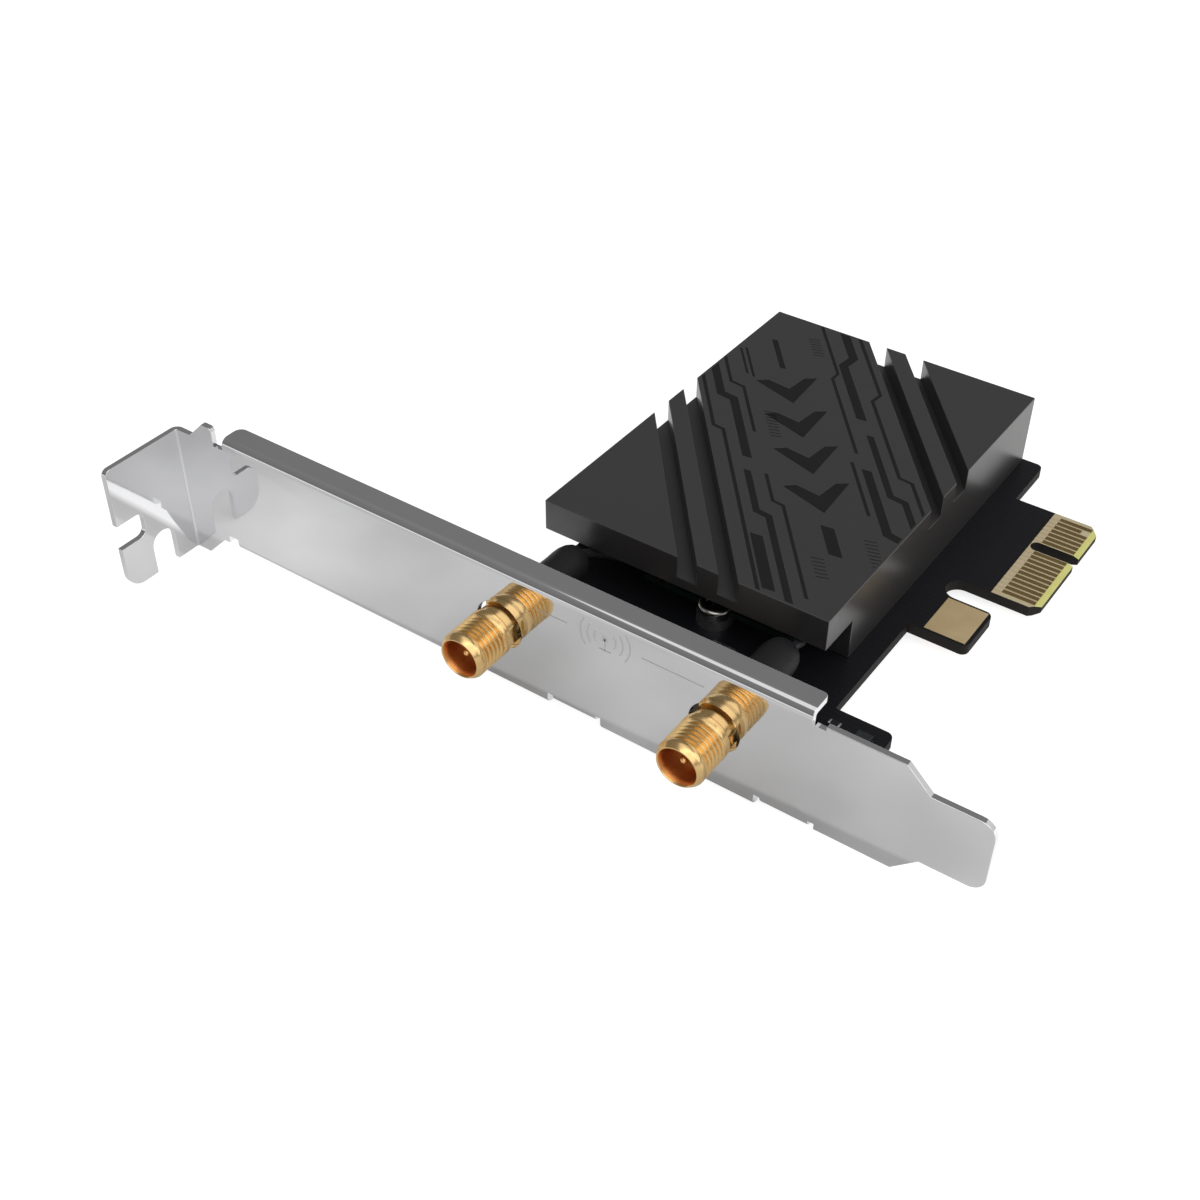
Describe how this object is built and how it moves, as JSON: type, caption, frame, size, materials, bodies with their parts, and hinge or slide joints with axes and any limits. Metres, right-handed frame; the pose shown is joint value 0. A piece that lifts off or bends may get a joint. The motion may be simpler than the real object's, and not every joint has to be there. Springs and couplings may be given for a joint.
{
  "type": "pcie wifi card",
  "caption": "Add-in wireless network card: slot bracket with two threaded antenna ports, black board with one-lane edge connector, radio module under a grooved heatsink.",
  "frame": {"origin": "middle of the key notch, on the contact edge, in the mid-plane of the circuit board", "axes": "+X out of the contact edge into the slot, along the bracket towards its tongue; +Y from the bracket into the card; +Z out of the component side"},
  "size_m": [0.1201, 0.0916, 0.0223],
  "materials": {
    "plated_steel": "polished nickel plate",
    "board_resist": "black solder resist over glass laminate",
    "contact_gold": "gold plate",
    "black_aluminium": "brushed and black anodised",
    "gap_filler": "soft matt silicone",
    "screw_steel": "zinc plate",
    "black_screw": "black oxide",
    "socket_resin": "moulded resin",
    "module_resist": "dark green solder resist",
    "shield_steel": "tinned sheet",
    "port_gold": "gold plate over brass",
    "ferrule_brass": "plated",
    "white_dielectric": "waxy",
    "lead_jacket": "smooth extruded jacket",
    "shrunk_sleeve": "shrunk polyolefin",
    "header_nylon": "natural nylon",
    "tinned_pin": "tin plate",
    "chip_resin": "moulded resin",
    "ferrite": "pressed ferrite",
    "tan_ceramic": "fired ceramic with tinned ends",
    "light_resin": "clear resin"
  },
  "bodies": {
    "root": {"bracket": "plated_steel", "circuit_board": "board_resist", "edge_contacts_top": "contact_gold", "edge_contacts_bottom": "contact_gold", "lock_tab_pads": "contact_gold", "socket_contacts": "contact_gold", "antenna_receptacles": "contact_gold", "port_pin_1": "contact_gold", "port_pin_2": "contact_gold", "heatsink": "black_aluminium", "thermal_pad": "gap_filler", "bracket_screws": "screw_steel", "radio_screw": "screw_steel", "radio_standoff": "screw_steel", "heatsink_screws": "black_screw", "module_socket": "socket_resin", "radio_board": "module_resist", "radio_shield": "shield_steel", "antenna_port_1": "port_gold", "antenna_port_2": "port_gold", "crimp_ferrule_1": "ferrule_brass", "crimp_ferrule_2": "ferrule_brass", "coax_plug_1": "ferrule_brass", "coax_plug_2": "ferrule_brass", "port_insulator_1": "white_dielectric", "port_insulator_2": "white_dielectric", "coax_lead_1": "lead_jacket", "coax_lead_2": "lead_jacket", "lead_boot_1": "shrunk_sleeve", "lead_boot_2": "shrunk_sleeve", "lead_header": "header_nylon", "lead_header_pins": "tinned_pin", "voltage_regulator": "chip_resin", "resistors": "chip_resin", "power_inductor": "ferrite", "capacitors": "tan_ceramic", "status_light": "light_resin"}
  },
  "joints": []
}
